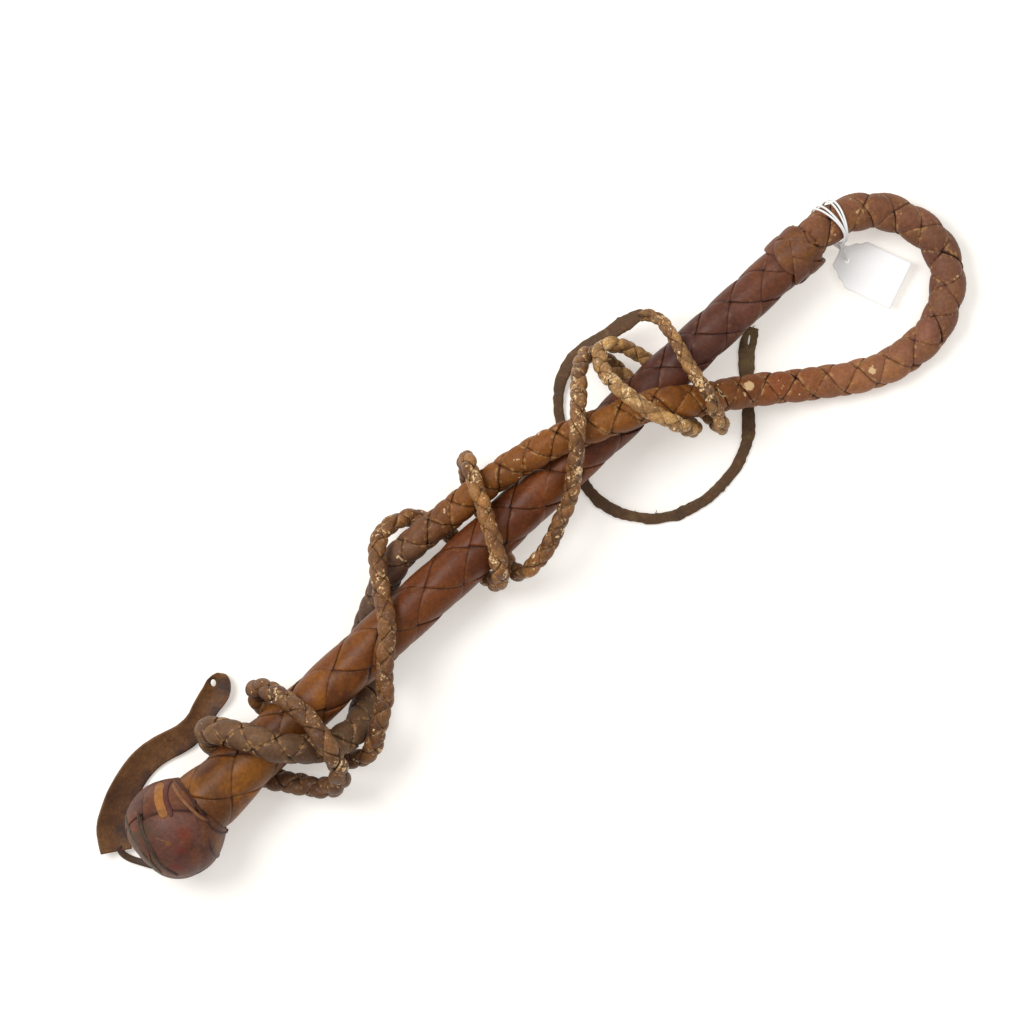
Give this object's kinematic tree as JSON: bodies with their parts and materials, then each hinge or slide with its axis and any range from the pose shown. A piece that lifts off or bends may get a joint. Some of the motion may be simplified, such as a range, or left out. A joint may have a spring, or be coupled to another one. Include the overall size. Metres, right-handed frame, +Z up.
{
  "type": "plaited leather stock whip",
  "caption": "Coiled plaited leather stock whip with a knobbed rigid handle, tapering thong, narrow fall, wrist strap and a blank strung ticket.",
  "frame": {"origin": "centre of the knob's flat end face, on the handle's axis", "axes": "+X along the handle from the knob to the ring knot, +Y to the side where the upper strand of the coil lies, +Z up from the table"},
  "size_m": [0.5478, 0.1336, 0.071],
  "materials": {
    "handle_leather": "glossy old varnished leather, tan to reddish brown",
    "knob_leather": "glossy purplish brown leather",
    "thong_leather": "semi-matte brown leather",
    "thin_thong_leather": "dry golden brown leather with cracked glaze",
    "strap_leather": "matte dark olive brown leather",
    "raw_leather": "undyed matte leather",
    "turned_wood": "turned, unfinished",
    "cane": "stripped cane",
    "cotton_string": "white cotton string",
    "ticket_card": "blank white card"
  },
  "bodies": {
    "handle": {"handle_rod": "cane", "handle_belly": "raw_leather", "handle_strand_1": "handle_leather", "handle_strand_2": "handle_leather", "handle_strand_3": "handle_leather", "handle_strand_4": "handle_leather", "handle_strand_5": "handle_leather", "handle_strand_6": "handle_leather", "knob_plug": "turned_wood", "knob_cover": "knob_leather", "ring_knot": "handle_leather", "thong_upper_cover": "thong_leather", "thong_upper_belly": "raw_leather", "thong_turn_cover": "thong_leather", "thong_turn_belly": "raw_leather", "thong_low_bight": "thin_thong_leather", "thong_long_bight": "thin_thong_leather", "thong_wrap_one": "thin_thong_leather", "thong_wrap_two": "thin_thong_leather", "thong_wrap_three": "thin_thong_leather", "thong_wrap_four": "thin_thong_leather", "fall_root": "strap_leather"},
    "loop": {"thong_loop_cover": "thong_leather", "thong_loop_belly": "raw_leather"},
    "fall_middle": {"fall_middle": "strap_leather"},
    "fall_end": {"fall_end": "strap_leather"},
    "lace": {"wrist_lace": "strap_leather"},
    "strap": {"wrist_strap": "strap_leather"},
    "ticket_string": {"ticket_string": "cotton_string"},
    "ticket_card": {"ticket_card": "ticket_card"}
  },
  "joints": [
    {"name": "loop_lift", "type": "hinge", "parent": "handle", "child": "loop", "pos_m": [0.47, 0.001, 0], "axis": [-0.9298, -0.3628, -0.0623], "range_deg": [0, 60]},
    {"name": "fall_swing", "type": "hinge", "parent": "handle", "child": "fall_middle", "pos_m": [0.3012, -0.0068, -0.0296], "axis": [0, 0, 1], "range_deg": [-2, 12]},
    {"name": "fall_end_swing", "type": "hinge", "parent": "fall_middle", "child": "fall_end", "pos_m": [0.3685, -0.059, -0.029], "axis": [0, 0, 1], "range_deg": [-2, 15]},
    {"name": "lace_swing", "type": "hinge", "parent": "handle", "child": "lace", "pos_m": [0.009, -0.0133, -0.0209], "axis": [0, 0, 1], "range_deg": [0, 25]},
    {"name": "strap_swing", "type": "hinge", "parent": "lace", "child": "strap", "pos_m": [-0.0073, 0.0082, -0.0274], "axis": [0, 0, 1], "range_deg": [0, 35]},
    {"name": "ticket_swing", "type": "hinge", "parent": "loop", "child": "ticket_string", "pos_m": [0.4853, -0.0011, -0.0038], "axis": [-0.9295, 0.1549, 0.3348], "range_deg": [0, 45]},
    {"name": "ticket_tilt", "type": "hinge", "parent": "ticket_string", "child": "ticket_card", "pos_m": [0.4806, -0.021, -0.0266], "axis": [-0.9304, -0.3665, 0], "range_deg": [0, 30]}
  ]
}
